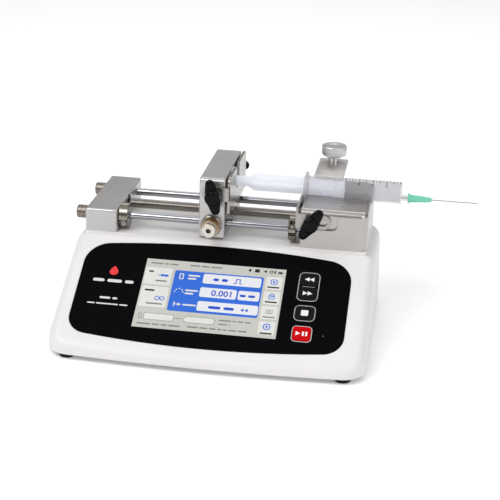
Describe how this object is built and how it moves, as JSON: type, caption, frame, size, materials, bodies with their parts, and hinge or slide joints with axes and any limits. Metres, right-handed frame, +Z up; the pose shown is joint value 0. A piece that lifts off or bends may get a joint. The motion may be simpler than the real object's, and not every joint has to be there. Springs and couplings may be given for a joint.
{
  "type": "syringe pump",
  "caption": "Bench-top syringe pump with a sloping touch panel, guide rods, a screw-driven pusher and a loaded syringe with needle",
  "frame": {"origin": "on the table, under the middle of the console's footprint", "axes": "+X along the syringe towards the needle, +Y towards the rear panel, +Z up"},
  "size_m": [0.312, 0.1942, 0.1299],
  "materials": {
    "body_white": "satin moulded plastic",
    "base_grey": "satin grey coat",
    "foot_rubber": "matte",
    "steel_screws": "turned",
    "overlay_black": "smooth satin film",
    "display": "lit screen behind clear plastic",
    "module_grey": "matte",
    "circuit_green": "satin solder mask",
    "key_grey": "satin",
    "key_red": "satin",
    "panel_grey": "satin",
    "connector_black": "matte",
    "connector_steel": "plated",
    "block_aluminium": "bead-blasted satin",
    "rod_chrome": "polished",
    "screw_bronze": "dark oiled",
    "nickel": "bright nickel plate",
    "retainer_steel": "satin",
    "clamp_satin": "satin",
    "brass": "turned",
    "button_steel": "knurled and turned",
    "spring_steel": "drawn wire",
    "knob_black": "matte",
    "motor_dark": "satin black",
    "pulley_aluminium": "machined",
    "belt_rubber": "matte",
    "syringe_clear": "translucent polypropylene",
    "hub_mint": "translucent mint plastic",
    "cannula_steel": "polished"
  },
  "bodies": {
    "console": {"housing_shell": "body_white", "base_plate": "base_grey", "base_screws": "steel_screws", "rubber_feet": "foot_rubber", "front_overlay": "overlay_black", "display_window": "display", "display_module": "module_grey", "keypad_board": "circuit_green", "main_board": "circuit_green", "power_supply": "circuit_green", "rear_panel": "panel_grey", "power_inlet": "connector_black", "power_switch_frame": "connector_black", "serial_connector": "connector_steel", "left_end_block": "block_aluminium", "right_block": "block_aluminium", "block_screws": "steel_screws", "guide_rod_front": "rod_chrome", "guide_rod_rear": "rod_chrome", "rod_end_nuts": "nickel", "screw_bearings": "connector_steel", "stepper_motor": "motor_dark", "motor_bracket": "connector_steel", "motor_screws": "steel_screws", "drive_belt": "belt_rubber", "clamp_post": "steel_screws", "clamp_spring": "spring_steel", "syringe_barrel": "syringe_clear", "needle_hub": "hub_mint", "needle_cannula": "cannula_steel"},
    "lead_screw": {"lead_screw": "screw_bronze", "screw_pulley": "pulley_aluminium"},
    "motor_rotor": {"motor_shaft": "steel_screws", "motor_pulley": "pulley_aluminium"},
    "pusher": {"pusher_block": "block_aluminium", "rod_bushings": "brass", "release_bush": "brass", "release_flange": "nickel", "release_spring": "spring_steel", "plunger_rod": "syringe_clear"},
    "plunger_retainer": {"plunger_retainer": "retainer_steel"},
    "pusher_knob_front": {"pusher_knob_front": "knob_black"},
    "pusher_knob_rear": {"pusher_knob_rear": "knob_black"},
    "release": {"release_button": "button_steel", "release_screw": "steel_screws", "release_slide": "button_steel", "half_nut": "brass"},
    "barrel_retainer": {"barrel_retainer": "retainer_steel"},
    "barrel_knob": {"barrel_knob": "knob_black"},
    "collar_left": {"stop_collar_left": "nickel", "collar_screw_left": "steel_screws"},
    "collar_right": {"stop_collar_right": "nickel", "collar_screw_right": "steel_screws"},
    "clamp_plate": {"clamp_plate": "clamp_satin"},
    "clamp_knob": {"clamp_knob": "clamp_satin"},
    "rewind_key": {"rewind_key": "key_grey"},
    "forward_key": {"forward_key": "key_grey"},
    "stop_key": {"stop_key": "key_grey"},
    "start_key": {"start_key": "key_red"},
    "power_rocker": {"power_rocker": "connector_black"}
  },
  "joints": [
    {"name": "pusher_slide", "type": "slide", "parent": "console", "child": "pusher", "axis": [1, 0, 0], "range_m": [-0.016, 0.04]},
    {"name": "screw_turn", "type": "hinge", "parent": "console", "child": "lead_screw", "pos_m": [0, 0.0455, 0.0805], "axis": [1, 0, 0], "range_deg": [-2884, 7204]},
    {"name": "motor_turn", "type": "hinge", "parent": "console", "child": "motor_rotor", "pos_m": [0.08, 0.0455, 0.036], "axis": [1, 0, 0], "range_deg": [-4326, 10806]},
    {"name": "plunger_retainer_slide", "type": "slide", "parent": "pusher", "child": "plunger_retainer", "axis": [1, 0, 0], "range_m": [0, 0.003]},
    {"name": "pusher_knob_front_turn", "type": "hinge", "parent": "pusher", "child": "pusher_knob_front", "pos_m": [-0.0085, 0.00585, 0.1065], "axis": [0, -1, 0], "range_deg": [0, 360]},
    {"name": "pusher_knob_rear_turn", "type": "hinge", "parent": "pusher", "child": "pusher_knob_rear", "pos_m": [-0.0085, 0.09115, 0.1065], "axis": [0, 1, 0], "range_deg": [0, 360]},
    {"name": "release_press", "type": "slide", "parent": "pusher", "child": "release", "axis": [0, 1, 0], "range_m": [0, 0.003]},
    {"name": "barrel_retainer_slide", "type": "slide", "parent": "console", "child": "barrel_retainer", "axis": [1, 0, 0], "range_m": [-0.003, 0]},
    {"name": "barrel_knob_turn", "type": "hinge", "parent": "console", "child": "barrel_knob", "pos_m": [0.0672, 0.00545, 0.0902], "axis": [0, -1, 0], "range_deg": [0, 360]},
    {"name": "collar_left_slide", "type": "slide", "parent": "console", "child": "collar_left", "axis": [1, 0, 0], "range_m": [0, 0.036]},
    {"name": "collar_right_slide", "type": "slide", "parent": "console", "child": "collar_right", "axis": [1, 0, 0], "range_m": [-0.006, 0]},
    {"name": "clamp_lift", "type": "slide", "parent": "console", "child": "clamp_plate", "axis": [0, 0, 1], "range_m": [0, 0.009], "deforming": ["clamp_spring"]},
    {"name": "clamp_knob_turn", "type": "hinge", "parent": "clamp_plate", "child": "clamp_knob", "pos_m": [0.07555, 0.082, 0.12], "axis": [0, 0, 1], "range_deg": [-1, 3241]},
    {"name": "rewind_key_press", "type": "slide", "parent": "console", "child": "rewind_key", "axis": [0, 0.5075, -0.8616], "range_m": [0, 0.0005]},
    {"name": "forward_key_press", "type": "slide", "parent": "console", "child": "forward_key", "axis": [0, 0.5075, -0.8616], "range_m": [0, 0.0005]},
    {"name": "stop_key_press", "type": "slide", "parent": "console", "child": "stop_key", "axis": [0, 0.5075, -0.8616], "range_m": [0, 0.0005]},
    {"name": "start_key_press", "type": "slide", "parent": "console", "child": "start_key", "axis": [0, 0.5075, -0.8616], "range_m": [0, 0.0005]},
    {"name": "power_rocker_tilt", "type": "hinge", "parent": "console", "child": "power_rocker", "pos_m": [-0.008, 0.0875, 0.031], "axis": [1, 0, 0], "range_deg": [0, 20]}
  ],
  "couplings": [
    {"joint": "screw_turn", "follows": "pusher_slide", "rad_per_m": 3141.6},
    {"joint": "motor_turn", "follows": "pusher_slide", "rad_per_m": 4712.4},
    {"joint": "clamp_knob_turn", "follows": "clamp_lift", "rad_per_m": 6283.2}
  ]
}
